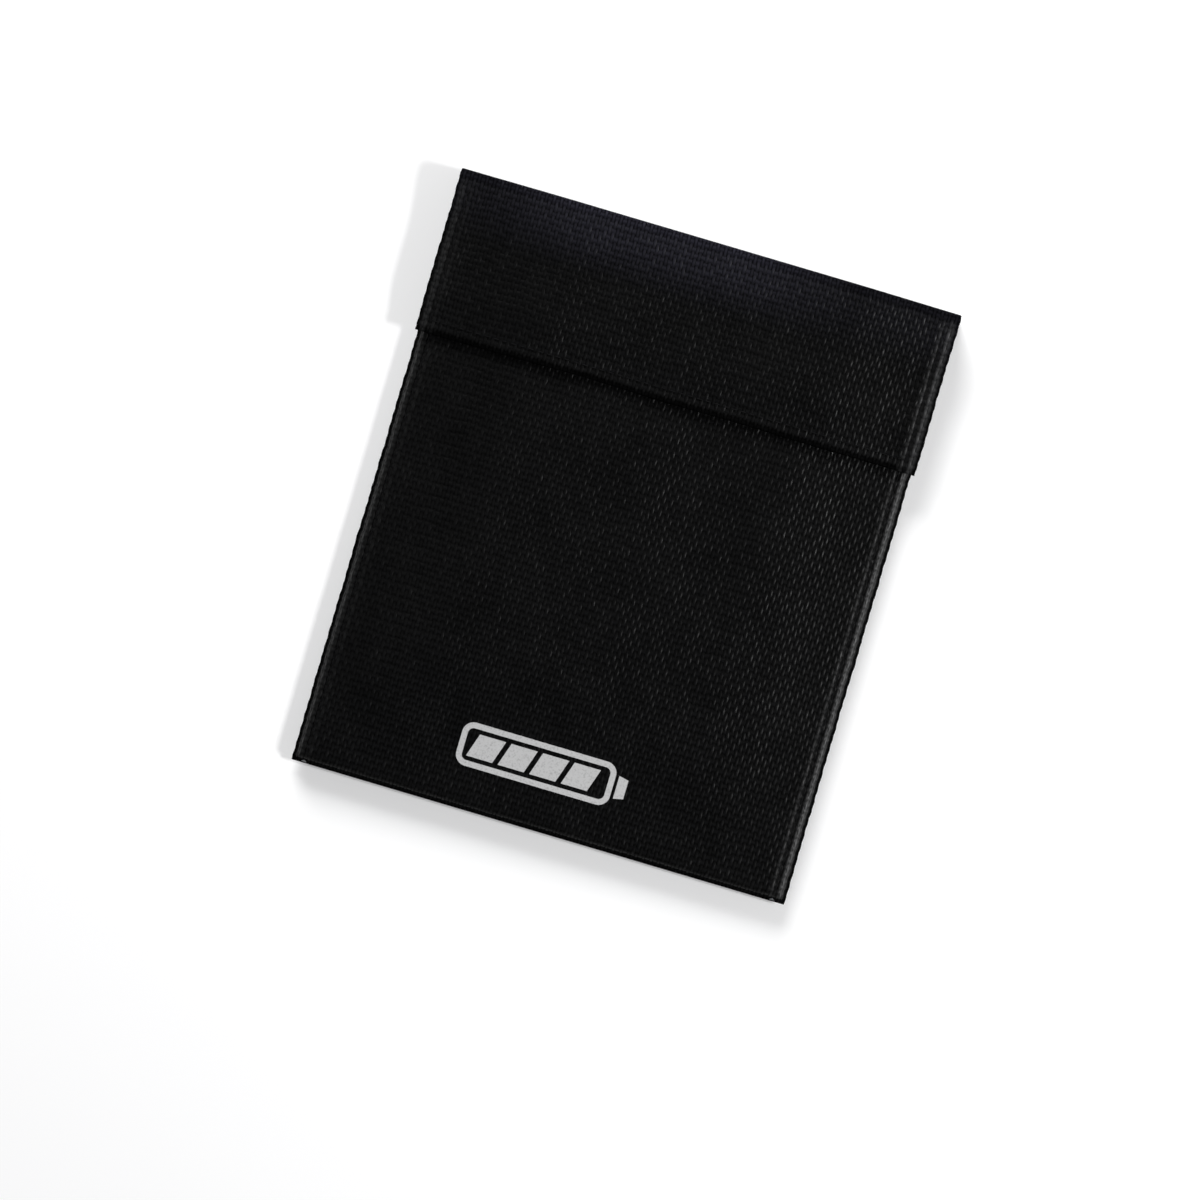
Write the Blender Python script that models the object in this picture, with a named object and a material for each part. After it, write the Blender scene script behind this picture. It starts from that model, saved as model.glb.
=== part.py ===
"""A fire-resistant pouch for charging and storing model batteries.

The pouch lies on its back: +X is across it, +Y runs from the bottom fold to the top fold, +Z is up.
The origin is on the surface it lies on, under the middle of the pouch. Everything is in metres.

The outer cloth is one strip: back panel, top fold, flap and, round the bottom fold, front panel.
Each stretch that turns on its own is its own solid here, and the creases between them are the joints.
"""

import math

import bmesh
import bpy
from mathutils import Vector

MM = 0.001

# Driving dimensions of the sewn pouch.
POUCH_WIDTH = 184 * MM
FLAP_WIDTH = 186 * MM
LENGTH = 220 * MM
FLAP_LENGTH = 60 * MM
MOUTH_SETBACK = 18 * MM
CLOTH = 0.5 * MM
LINING = 0.4 * MM
GAP = 0.3 * MM

# How the closed pouch stands up off the table: thin edges and a soft crown.
EDGE_ROLL = 3.2 * MM
EDGE_HEIGHT = 6.2 * MM
SEAM_HEIGHT = 2.8 * MM
SEAM_SPLIT = 0.15 * MM
CROWN = 3.2 * MM
CROWN_SIDE_REACH = 46 * MM
CROWN_END_REACH = 56 * MM
MOUTH_CROWN_SHARE = 0.65
MOUTH_FALL_START = 20 * MM
BACK_LIFT_REACH = 14 * MM

# Hook and loop tapes, each a woven base with a narrower field of hooks or loops.
TAPE_LENGTH = 160 * MM
TAPE_WIDTH = 24 * MM
TAPE_SELVAGE = 2.5 * MM
TAPE_BASE = 0.4 * MM
TAPE_THICKNESS = 0.9 * MM
TAPE_FROM_FLAP_EDGE = 9 * MM
TAPE_THREAD_END = 2 * MM
LOOP_THREAD_INSET = 1.8 * MM
HOOK_THREAD_INSET = 0.8 * MM

# Sewing.
THREAD = 0.4 * MM
SEAM_INSET = 5.6 * MM
HEM_WIDTH = 8 * MM
HEM_STITCH_INSET = 4.7 * MM
MOUTH_STITCH_INSET = 6 * MM
BINDING_WIDTH = 6 * MM
BINDING_INSET = 5.3 * MM
BINDING_HEIGHT = 1.0 * MM
BINDING_TAPE = 0.3 * MM
BINDING_SHORT_OF_MOUTH = 4 * MM
SEAM_SHORT_OF_MOUTH = 2 * MM

# The two creases of the top fold, and how the flap comes down from the upper one.
UPPER_CREASE_Z = 11.9 * MM
CREASE_CLEARANCE = 0.1 * MM
FOLD_FALL_START = 8 * MM
FOLD_FALL_REACH = 6 * MM
TAPE_SHOULDER = 2 * MM

# Places that follow from those.
HALF = POUCH_WIDTH / 2
FLAP_HALF = FLAP_WIDTH / 2
BOTTOM_Y = -LENGTH / 2
TOP_Y = LENGTH / 2
LAYERS = CLOTH + GAP + LINING
CREASE_Y = TOP_Y - LAYERS
MOUTH_Y = TOP_Y - MOUTH_SETBACK
FLAP_EDGE_Y = TOP_Y - FLAP_LENGTH
LOWER_CREASE_Z = LAYERS + CREASE_CLEARANCE
FLAP_TOP_AT_FOLD = UPPER_CREASE_Z + LAYERS
HEM_DEPTH = LAYERS + GAP + CLOTH
TAPE_Y = FLAP_EDGE_Y + TAPE_FROM_FLAP_EDGE + TAPE_WIDTH / 2
FLAP_CLEARANCE = GAP + THREAD + GAP
LINING_INSET = 1.3 * MM
LINING_RIM_RISE = 0.95 * MM

# Grid lines of the cloth, in millimetres in from an edge, closest where it rolls over.
PANEL_STEPS = [0, 0.35, 1.0, 2.0, 3.2, 8, 16, 26, 36, 46]
LINING_STEPS = [1.3, 1.65, 2.3, 3.2, 4.6, 8, 16, 26, 36, 46]
BACK_STEPS = [0, 3, 6, 10, 14]
BACK_LINING_STEPS = [1.3, 3, 6, 10, 14]
ROLL_ROWS = 5
FLAP_STEPS = [0, 8, 13, 20, 30, 42, 56, 74]

# Grid lines along the pouch, in millimetres from its middle, where no edge sets them.
BACK_ROWS = [-50, 0, 50]
FRONT_ROWS = [-101, -88, -72, -54, -30, 0, 25, 45, 62, 78]
FLAP_ROWS = [58, 70, 83, 90, 96, 102]

# Points along each run of thread and each tape.
SEAM_POINTS = 12
HEM_POINTS = 17
TAPE_POINTS = 17
TAPE_THREAD_POINTS = 15

COLOURS = {
    "cloth": ((0.012, 0.012, 0.013, 1), 0.5),
    "lining": ((0.2, 0.205, 0.21, 1), 0.45),
    "binding": ((0.015, 0.015, 0.016, 1), 0.75),
    "hook_tape": ((0.01, 0.01, 0.011, 1), 0.5),
    "loop_tape": ((0.014, 0.014, 0.015, 1), 0.9),
    "thread": ((0.016, 0.016, 0.017, 1), 0.6),
}


def smooth(t):
    """0 up to 1 as t goes from 0 to 1, level at both ends."""
    t = min(max(t, 0.0), 1.0)
    return t * t * (3 - 2 * t)


def roll(distance):
    """A quarter round: 0 at the seam, 1 once past the edge roll."""
    t = min(max(distance / EDGE_ROLL, 0.0), 1.0)
    return math.sqrt(1 - (1 - t) ** 2)


def crown(x, y):
    """The soft rise of the front between its three closed edges, lower towards the mouth."""
    side = smooth((HALF - abs(x)) / CROWN_SIDE_REACH)
    end = smooth((y - BOTTOM_Y) / CROWN_END_REACH)
    to_mouth = smooth((y - MOUTH_FALL_START) / (MOUTH_Y - MOUTH_FALL_START))
    return CROWN * side * end * (1 - (1 - MOUTH_CROWN_SHARE) * to_mouth)


def front_top(x, y):
    """Outer face of the front panel."""
    rim = SEAM_HEIGHT + SEAM_SPLIT
    rise = EDGE_HEIGHT - rim
    return rim + rise * roll(HALF - abs(x)) * roll(y - BOTTOM_Y) + crown(x, y)


def front_lining_top(x, y):
    """Outer face of the front lining, under the front panel."""
    rim = SEAM_HEIGHT + LINING_RIM_RISE
    rise = EDGE_HEIGHT - CLOTH - GAP - rim
    side = roll(HALF - LINING_INSET - abs(x))
    end = roll(y - BOTTOM_Y - LINING_INSET)
    return rim + rise * side * end + crown(x, y)


def back_lift(x, y):
    """How far the back curves up off the table near its three closed edges."""
    side = max(1 - (HALF - abs(x)) / BACK_LIFT_REACH, 0.0) ** 2
    end = max(1 - (y - BOTTOM_Y) / BACK_LIFT_REACH, 0.0) ** 2
    return (SEAM_HEIGHT - SEAM_SPLIT - CLOTH) * (side + end - side * end)


def back_lining_under(x, y):
    """Under face of the back lining, on the back panel."""
    return back_lift(x, y) + CLOTH + GAP


def flap_top(x, y):
    """Outer face of the flap: raised over the tapes, lower at the pouch's sides, straight at the fold."""
    over_tapes = 2 * TAPE_THICKNESS + 3 * GAP + LAYERS - FLAP_CLEARANCE - HEM_DEPTH
    across = 1 - smooth((abs(x) - TAPE_LENGTH / 2 + TAPE_SHOULDER) / (FLAP_HALF - TAPE_LENGTH / 2))
    along = 1 - smooth((y - TAPE_Y - TAPE_WIDTH / 2) / (MOUTH_Y - TAPE_Y - TAPE_WIDTH / 2))
    draped = front_top(min(abs(x), HALF - EDGE_ROLL), min(y, MOUTH_Y)) + FLAP_CLEARANCE + HEM_DEPTH
    draped += over_tapes * across * along
    at_fold = smooth((y - MOUTH_Y + FOLD_FALL_START) / (CREASE_Y - MOUTH_Y + FOLD_FALL_REACH))
    return draped + (FLAP_TOP_AT_FOLD - draped) * at_fold


def flap_lining_top(x, y):
    """The flap lining's outer face, against the flap cloth."""
    return flap_top(x, y) - CLOTH - GAP


def material(name):
    """The plain finish of one kind of cloth, tape or thread."""
    colour, roughness = COLOURS[name]
    made = bpy.data.materials.get(name)
    if made is None:
        made = bpy.data.materials.new(name)
        made.use_nodes = True
        shader = made.node_tree.nodes["Principled BSDF"]
        shader.inputs["Base Color"].default_value = colour
        shader.inputs["Roughness"].default_value = roughness
        shader.inputs["Metallic"].default_value = 0.0
    return made


def add_object(name, mesh_data, finish, parent=None):
    """One named sub-part in its finish, carried by a crease where it has a parent."""
    obj = bpy.data.objects.new(name, mesh_data)
    bpy.context.scene.collection.objects.link(obj)
    obj.data.materials.append(material(finish))
    if parent is not None:
        obj.parent = parent
        obj.matrix_parent_inverse = parent.matrix_world.inverted()
    return obj


def joint_empty(name, place, parent=None):
    """An empty on a crease: what turns about the crease is parented to it."""
    empty = bpy.data.objects.new(name, None)
    bpy.context.scene.collection.objects.link(empty)
    if parent is not None:
        empty.parent = parent
        bpy.context.view_layer.update()
        empty.matrix_parent_inverse = parent.matrix_world.inverted()
    empty.location = place
    bpy.context.view_layer.update()
    return empty


def mesh_from(name, bm):
    data = bpy.data.meshes.new(name)
    bm.to_mesh(data)
    bm.free()
    return data


def mirrored_stations(steps, half=HALF):
    """Places across a panel, close together at the edges where it rolls over."""
    right = [half - step * MM for step in reversed(steps)]
    return [-x for x in reversed(right)] + ([] if right[0] == 0 else [0.0]) + right


def sheet(name, xs, ys, height, thickness, finish, parent=None, downwards=True):
    """One layer of cloth: a grid on a surface, given its thickness below or above that surface."""
    bm = bmesh.new()
    rows = [[bm.verts.new((x, y, height(x, y))) for x in xs] for y in ys]
    for low, high in zip(rows, rows[1:]):
        for i in range(len(xs) - 1):
            bm.faces.new((low[i], low[i + 1], high[i + 1], high[i]))
    obj = add_object(name, mesh_from(name, bm), finish, parent)
    wall = obj.modifiers.new("thickness", "SOLIDIFY")
    wall.thickness = thickness
    wall.offset = -1 if downwards else 1
    wall.use_even_offset = True
    wall.use_quality_normals = True
    return obj


def tube(name, points, radius, finish, parent=None):
    """A sewing thread as a plain round run through points."""
    curve = bpy.data.curves.new(name, "CURVE")
    curve.dimensions = "3D"
    curve.bevel_depth = radius
    curve.bevel_resolution = 1
    curve.use_fill_caps = True
    spline = curve.splines.new("POLY")
    spline.points.add(len(points) - 1)
    for point, place in zip(spline.points, points):
        point.co = (*place, 1)
    return add_object(name, curve, finish, parent)


def spread(start, end, count):
    return [start + (end - start) * i / (count - 1) for i in range(count)]


def build_back():
    """Back panel and its lining, flat on the table, curling up to the seams."""
    ends = [BOTTOM_Y + step * MM for step in BACK_STEPS]
    ys = ends + [y * MM for y in BACK_ROWS] + [MOUTH_Y, CREASE_Y - GAP]
    outer = mirrored_stations(BACK_STEPS)
    sheet("back_panel", outer, ys, back_lift, CLOTH, "cloth", downwards=False)
    ys[0] = BOTTOM_Y + LINING_INSET
    inner = mirrored_stations(BACK_LINING_STEPS)
    sheet("back_lining", inner, ys, back_lining_under, LINING, "lining", downwards=False)


def seam_points(side, height, offset):
    """Points up one side seam, at an offset from the face that the thread lies on."""
    x = side * (HALF - SEAM_INSET)
    ys = spread(BOTTOM_Y + SEAM_INSET, MOUTH_Y - SEAM_SHORT_OF_MOUTH, SEAM_POINTS)
    return [(x, y, height(x, y) + offset) for y in ys]


def build_side_seams(front):
    """Lockstitch down both sides: the needle thread on the front, the bobbin thread on the back."""
    clear = GAP + THREAD / 2
    for side, label in ((-1, "left"), (1, "right")):
        above = seam_points(side, front_top, clear)
        below = seam_points(side, back_lift, -clear)
        tube(f"{label}_seam_needle_thread", above, THREAD / 2, "thread", front)
        tube(f"{label}_seam_bobbin_thread", below, THREAD / 2, "thread")
        build_binding(f"{label}_seam_binding", side)


def build_binding(name, side):
    """Tape folded round the raw seam edges inside the pouch: a U open towards the seam."""
    fold_x = HALF - BINDING_INSET - BINDING_WIDTH
    middle_z = EDGE_HEIGHT - LAYERS - GAP - BINDING_HEIGHT / 2
    outside = BINDING_HEIGHT / 2
    inside = outside - BINDING_TAPE
    profile = [
        (fold_x + BINDING_WIDTH, -outside),
        (fold_x + BINDING_WIDTH, -inside),
        (fold_x + BINDING_TAPE, -inside),
        (fold_x + BINDING_TAPE, inside),
        (fold_x + BINDING_WIDTH, inside),
        (fold_x + BINDING_WIDTH, outside),
        (fold_x, outside),
        (fold_x, -outside),
    ]
    bm = bmesh.new()
    start = BOTTOM_Y + BACK_LIFT_REACH
    loop = [bm.verts.new((side * x, start, middle_z + z)) for x, z in profile]
    face = bm.faces.new(loop)
    made = bmesh.ops.extrude_face_region(bm, geom=[face])
    far = [v for v in made["geom"] if isinstance(v, bmesh.types.BMVert)]
    bmesh.ops.translate(bm, verts=far, vec=(0, MOUTH_Y - BINDING_SHORT_OF_MOUTH - start, 0))
    bmesh.ops.recalc_face_normals(bm, faces=bm.faces)
    add_object(name, mesh_from(name, bm), "binding")


def build_front(front):
    """Front panel and lining, crowned, with the mouth hem's threads."""
    rest = [y * MM for y in FRONT_ROWS] + [MOUTH_Y]
    ys = [BOTTOM_Y + step * MM for step in PANEL_STEPS[:ROLL_ROWS]] + rest
    sheet("front_panel", mirrored_stations(PANEL_STEPS), ys, front_top, CLOTH, "cloth", front)
    ys = [BOTTOM_Y + step * MM for step in LINING_STEPS[:ROLL_ROWS]] + rest
    xs = mirrored_stations(LINING_STEPS)
    sheet("front_lining", xs, ys, front_lining_top, LINING, "lining", front)
    xs = spread(-HALF + 2 * SEAM_INSET, HALF - 2 * SEAM_INSET, HEM_POINTS)
    y = MOUTH_Y - MOUTH_STITCH_INSET
    above = [(x, y, front_top(x, y) + GAP + THREAD / 2) for x in xs]
    below = [(x, y, front_lining_top(x, y) - LINING - GAP - THREAD / 2) for x in xs]
    tube("mouth_hem_needle_thread", above, THREAD / 2, "thread", front)
    tube("mouth_hem_bobbin_thread", below, THREAD / 2, "thread", front)


def tape_solid(name, under, outwards, finish, parent):
    """A hook or loop tape along X: a woven base on the surface under, and the field standing on it."""
    xs = spread(-TAPE_LENGTH / 2, TAPE_LENGTH / 2, TAPE_POINTS)
    half = TAPE_WIDTH / 2
    field = half - TAPE_SELVAGE
    profile = [
        (-half, 0),
        (half, 0),
        (half, TAPE_BASE),
        (field, TAPE_BASE),
        (field, TAPE_THICKNESS),
        (-field, TAPE_THICKNESS),
        (-field, TAPE_BASE),
        (-half, TAPE_BASE),
    ]
    bm = bmesh.new()
    rings = []
    for x in xs:
        ring = []
        for across, height in profile:
            z = under(x, TAPE_Y + across) + outwards * height
            ring.append(bm.verts.new((x, TAPE_Y + across, z)))
        rings.append(ring)
    for a, b in zip(rings, rings[1:]):
        for i in range(len(profile)):
            j = (i + 1) % len(profile)
            bm.faces.new((a[i], a[j], b[j], b[i]))
    bm.faces.new(rings[0])
    bm.faces.new(rings[-1])
    bmesh.ops.recalc_face_normals(bm, faces=bm.faces)
    return add_object(name, mesh_from(name, bm), finish, parent)


def build_tapes(front, flap):
    """Loop tape on the front, hook tape under the flap, each sewn along both edges."""
    def loop_under(x, y):
        return front_top(x, y) + GAP

    def hook_under(x, y):
        return flap_top(x, y) - LAYERS - GAP

    tape_solid("loop_tape", loop_under, 1, "loop_tape", front)
    tape_solid("hook_tape", hook_under, -1, "hook_tape", flap)
    for edge, label in ((-1, "lower"), (1, "upper")):
        for kind, under, outwards, inset, parent in (
            ("loop", loop_under, 1, LOOP_THREAD_INSET, front),
            ("hook", hook_under, -1, HOOK_THREAD_INSET, flap),
        ):
            y = TAPE_Y + edge * (TAPE_WIDTH / 2 - inset)
            lift = outwards * (TAPE_BASE + GAP + THREAD / 2)
            reach = TAPE_LENGTH / 2 - TAPE_THREAD_END
            xs = spread(-reach, reach, TAPE_THREAD_POINTS)
            points = [(x, y, under(x, y) + lift) for x in xs]
            tube(f"{kind}_tape_{label}_thread", points, THREAD / 2, "thread", parent)


def hem_outline(inset, xs, ys):
    """Points down the left side of the flap, along its free edge and up the right side."""
    half = FLAP_HALF - inset
    low = FLAP_EDGE_Y + inset
    left = [(-half, max(y, low)) for y in reversed(ys)]
    edge = [(min(max(x, -half), half), low) for x in xs[1:-1]]
    right = [(half, max(y, low)) for y in ys]
    return left + edge + right


def build_flap(flap):
    """Flap cloth, its edges turned under round the lining as a hem."""
    xs = mirrored_stations(FLAP_STEPS, FLAP_HALF)
    ys = [FLAP_EDGE_Y] + [y * MM for y in FLAP_ROWS] + [CREASE_Y - GAP]
    bm = bmesh.new()
    rows = [[bm.verts.new((x, y, flap_top(x, y))) for x in xs] for y in ys]
    for low, high in zip(rows, rows[1:]):
        for i in range(len(xs) - 1):
            bm.faces.new((low[i], low[i + 1], high[i + 1], high[i]))
    rim = [row[0] for row in reversed(rows)] + rows[0][1:-1] + [row[-1] for row in rows]
    under = [bm.verts.new((v.co.x, v.co.y, v.co.z - HEM_DEPTH)) for v in rim]
    lip = []
    for (x, y), v in zip(hem_outline(HEM_WIDTH, xs, ys), rim):
        lip.append(bm.verts.new((x, y, flap_top(x, y) - HEM_DEPTH)))
    for upper, lower in ((rim, under), (under, lip)):
        for i in range(len(rim) - 1):
            bm.faces.new((upper[i + 1], upper[i], lower[i], lower[i + 1]))
    obj = add_object("flap_panel", mesh_from("flap_panel", bm), "cloth", flap)
    wall = obj.modifiers.new("thickness", "SOLIDIFY")
    wall.thickness = CLOTH
    wall.offset = -1
    wall.use_even_offset = True
    wall.use_quality_normals = True

    inset = CLOTH + GAP
    inner_xs = [min(max(x, -FLAP_HALF + inset), FLAP_HALF - inset) for x in xs]
    inner_ys = [ys[0] + inset] + ys[1:]
    sheet("flap_lining", inner_xs, inner_ys, flap_lining_top, LINING, "lining", flap)
    build_flap_hem_threads(flap, xs, ys)


def build_flap_hem_threads(flap, xs, ys):
    """The hem's lockstitch: needle thread on the flap's face, bobbin thread under its hem."""
    outline = hem_outline(HEM_STITCH_INSET, xs, ys[:-1])
    clear = GAP + THREAD / 2
    above = [(x, y, flap_top(x, y) + clear) for x, y in outline]
    below = [(x, y, flap_top(x, y) - HEM_DEPTH - clear) for x, y in outline]
    tube("flap_hem_needle_thread", above, THREAD / 2, "thread", flap)
    tube("flap_hem_bobbin_thread", below, THREAD / 2, "thread", flap)


def build_top_fold(fold):
    """The strip of cloth and lining that stands up as the top edge and carries the flap."""
    low = LOWER_CREASE_Z + GAP
    high = UPPER_CREASE_Z - GAP
    for name, near, thickness, finish in (
        ("top_fold_lining", CREASE_Y, LINING, "lining"),
        ("top_fold_cloth", CREASE_Y + LINING + GAP, CLOTH, "cloth"),
    ):
        bm = bmesh.new()
        bmesh.ops.create_cube(bm, size=1)
        bmesh.ops.scale(bm, verts=bm.verts, vec=(FLAP_WIDTH, thickness, high - low))
        centre = Vector((0, near + thickness / 2, (low + high) / 2))
        bmesh.ops.translate(bm, verts=bm.verts, vec=centre)
        add_object(name, mesh_from(name, bm), finish, fold)


def main():
    for obj in list(bpy.data.objects):
        bpy.data.objects.remove(obj)
    bpy.context.scene.unit_settings.scale_length = 1.0
    front = joint_empty("front_panel_crease", (0, BOTTOM_Y + GAP, SEAM_HEIGHT))
    fold = joint_empty("lower_top_crease", (0, CREASE_Y, LOWER_CREASE_Z))
    flap = joint_empty("upper_top_crease", (0, CREASE_Y, UPPER_CREASE_Z), fold)
    build_back()
    build_front(front)
    build_side_seams(front)
    build_tapes(front, flap)
    build_top_fold(fold)
    build_flap(flap)
    bpy.context.view_layer.update()


main()
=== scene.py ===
# A flat fire-resistant pouch for charging and storing model batteries, closed, on a pale table.
# The outer cloth, lining, tapes and sewing are each their own piece, made where the model has them.
# +X is across the pouch, +Y runs up to the top fold, +Z is up. Lengths are in metres.
import math

import bmesh
import bpy
import numpy as np
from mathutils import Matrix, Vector
from mathutils.bvhtree import BVHTree


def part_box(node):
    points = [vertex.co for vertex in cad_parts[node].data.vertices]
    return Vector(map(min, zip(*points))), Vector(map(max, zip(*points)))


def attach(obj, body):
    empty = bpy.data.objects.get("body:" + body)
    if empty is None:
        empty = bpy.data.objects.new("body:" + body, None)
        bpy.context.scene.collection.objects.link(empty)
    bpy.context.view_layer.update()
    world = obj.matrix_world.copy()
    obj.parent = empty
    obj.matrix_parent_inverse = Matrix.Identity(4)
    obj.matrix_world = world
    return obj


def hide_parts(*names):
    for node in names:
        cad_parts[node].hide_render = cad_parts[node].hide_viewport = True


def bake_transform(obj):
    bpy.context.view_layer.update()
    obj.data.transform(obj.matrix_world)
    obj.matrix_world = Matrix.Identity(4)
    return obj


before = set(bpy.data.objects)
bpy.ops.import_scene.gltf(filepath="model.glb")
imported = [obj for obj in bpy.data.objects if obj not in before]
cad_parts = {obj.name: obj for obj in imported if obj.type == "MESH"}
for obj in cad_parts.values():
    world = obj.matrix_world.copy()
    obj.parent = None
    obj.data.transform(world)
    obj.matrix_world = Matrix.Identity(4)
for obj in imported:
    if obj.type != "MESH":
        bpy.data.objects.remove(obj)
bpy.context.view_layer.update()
mm = 0.001
scene = bpy.context.scene
print("frame loaded")

# sizes that the sewn pieces share, read from the model's own nodes
frontLow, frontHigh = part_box("front_panel")
flapLow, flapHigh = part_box("flap_panel")
foldLow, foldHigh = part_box("top_fold_cloth")
tapeLow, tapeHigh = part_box("loop_tape")
pouch = {
    "half": frontHigh.x,
    "bottom": frontLow.y,
    "mouth": frontHigh.y,
    "top": foldHigh.y,
    "flapHalf": flapHigh.x,
    "flapEdge": flapLow.y,
    "foldTop": foldHigh.z + 1.5 * mm,
    "seamHeight": 2.8 * mm,
    "edgeHeight": 6.2 * mm,
    "crown": 3.2 * mm,
    "crownSide": 46 * mm,  # how far in from the sides the crown is full
    "crownEnd": 56 * mm,  # and from the bottom
    "mouthShare": 0.65,  # the crown's share that is left at the mouth
    "fallStart": 20 * mm,
    "liningDepth": 0.9 * mm,
    "backReach": 14 * mm,  # how far in the back lifts off the table towards its seams
    "backEnd": 13 * mm,  # how far past the mouth that lift dies out at the sides
    "backPastMouth": 4 * mm,
    "seamInset": 4.6 * mm,
    "seamDip": 0.42 * mm,
    "stitchPitch": 3.2 * mm,
    "swells": ((0.16 * mm, 11, 62 * mm), (0.05 * mm, 12, 24 * mm)),  # the front's waves: depth, seed, length
    "swellFrom": 18 * mm,  # how far in they reach their full depth
    "mouthHem": 9 * mm,
    "mouthHemRound": 0.7 * mm,
    "mouthStitchIn": 6 * mm,
    "bendReach": 50 * mm,  # how far in from each side seam the front bends when the mouth opens
}


# ---- small helpers

def ease(t):
    t = np.clip(t, 0, 1)
    return t * t * (3 - 2 * t)


def rising(distance, zone):
    # nothing up to where a zone starts, then smoothly up to one over its length
    start, length = zone
    return ease((distance - start) / length)


def bump(distance, width):
    return np.exp(-((distance / width) ** 2))


def ripple(x, y, seed, wavelength, count=7):
    # a soft, uneven swell: a few waves of about one length that run in different directions
    rng = np.random.default_rng(seed)
    total = 0
    for angle, phase, stretch in zip(
        rng.uniform(0, math.pi, count), rng.uniform(0, 2 * math.pi, count), rng.uniform(0.7, 1.6, count)
    ):
        turns = 2 * math.pi / (wavelength * stretch)
        total = total + np.sin(turns * (x * math.cos(angle) + y * math.sin(angle)) + phase)
    return total / math.sqrt(count)


def finish(piece, material, nodes=()):
    piece.data.materials.clear()
    piece.data.materials.append(material)
    if nodes:
        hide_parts(*nodes)


def walked(outline):
    # how far along an outline each of its points is
    return np.concatenate([[0], np.cumsum(np.linalg.norm(np.diff(outline, axis=0), axis=1))])


def linked(name, data):
    piece = bpy.data.objects.new(name, data)
    scene.collection.objects.link(piece)
    return piece


def gridFaces(rows, cols):
    index = np.arange(rows * cols).reshape(rows, cols)
    return np.stack([index[:-1, :-1], index[:-1, 1:], index[1:, 1:], index[1:, :-1]], -1).reshape(-1, 4)


def gridPiece(name, points, uv, values=None, flipped=False):
    # points is rows x columns x 3; uv is in millimetres along the cloth, so a pattern follows it
    rows, cols = points.shape[:2]
    quads = gridFaces(rows, cols)
    if flipped:
        quads = quads[:, ::-1]
    mesh = bpy.data.meshes.new(name)
    mesh.from_pydata(points.reshape(-1, 3).tolist(), [], quads.tolist())
    layer = mesh.uv_layers.new(name="threads")
    layer.data.foreach_set("uv", uv.reshape(-1, 2)[quads.ravel()].astype(np.float32).ravel())
    for key, value in (values or {}).items():
        attribute = mesh.attributes.new(key, "FLOAT", "POINT")
        attribute.data.foreach_set("value", np.broadcast_to(value, (rows, cols)).astype(np.float32).ravel())
    mesh.shade_smooth()
    return linked(name, mesh)


# ---- materials

def feed(tree, node, inputs):
    # each input is given as a value, or as the socket that leads to it
    for key, value in inputs.items():
        if isinstance(value, bpy.types.NodeSocket):
            tree.links.new(value, node.inputs[key])
        else:
            node.inputs[key].default_value = value


def addNode(tree, kind, inputs=None, **settings):
    node = tree.nodes.new(kind)
    for key, value in settings.items():
        setattr(node, key, value)
    feed(tree, node, inputs or {})
    return node


def newMaterial(name, settings):
    material = bpy.data.materials.new(name)
    material.use_nodes = True
    shader = material.node_tree.nodes["Principled BSDF"]
    feed(material.node_tree, shader, settings)
    return material, material.node_tree, shader


def calc(tree, operation, *values):
    return addNode(tree, "ShaderNodeMath", dict(enumerate(values)), operation=operation).outputs["Value"]


def grey(level):
    return (level, level, level)


def ramp(tree, source, stops, low=0.0, high=1.0):
    node = addNode(tree, "ShaderNodeValToRGB", {"Fac": source})
    for element, position, shade in zip(node.color_ramp.elements, (low, high), stops):
        element.position = position
        element.color = (*shade, 1)
    return node.outputs["Color"]


def noise(tree, place, scale, detail=2.0, roughness=0.5):
    inputs = {"Vector": place, "Scale": scale, "Detail": detail, "Roughness": roughness}
    return addNode(tree, "ShaderNodeTexNoise", inputs).outputs["Fac"]


def bands(tree, place, scale, distortion, detail=2.0, direction="X"):
    inputs = {"Vector": place, "Scale": scale, "Distortion": distortion, "Detail": detail}
    wave = addNode(tree, "ShaderNodeTexWave", inputs, wave_type="BANDS", bands_direction=direction)
    return wave.outputs["Fac"]


def mixed(tree, share, under, over, how="MIX"):
    inputs = {"Factor": share, "A": under, "B": over}
    return addNode(tree, "ShaderNodeMix", inputs, data_type="RGBA", blend_type=how).outputs["Result"]


def between(tree, source, limits):
    inputs = {"Value": source, "To Min": limits[0], "To Max": limits[1]}
    return addNode(tree, "ShaderNodeMapRange", inputs).outputs["Result"]


def embossed(tree, height, strength, distance, **under):
    inputs = {"Height": height, "Strength": strength, "Distance": distance, **under}
    return addNode(tree, "ShaderNodeBump", inputs).outputs["Normal"]


def yarnMap(tree, scale=(1, 1, 1)):
    # the cloth's own map, in millimetres, stretched so that noise runs along a yarn
    place = addNode(tree, "ShaderNodeUVMap", uv_map="threads").outputs["UV"]
    return addNode(tree, "ShaderNodeMapping", {"Vector": place, "Scale": scale}).outputs["Vector"]


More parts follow.
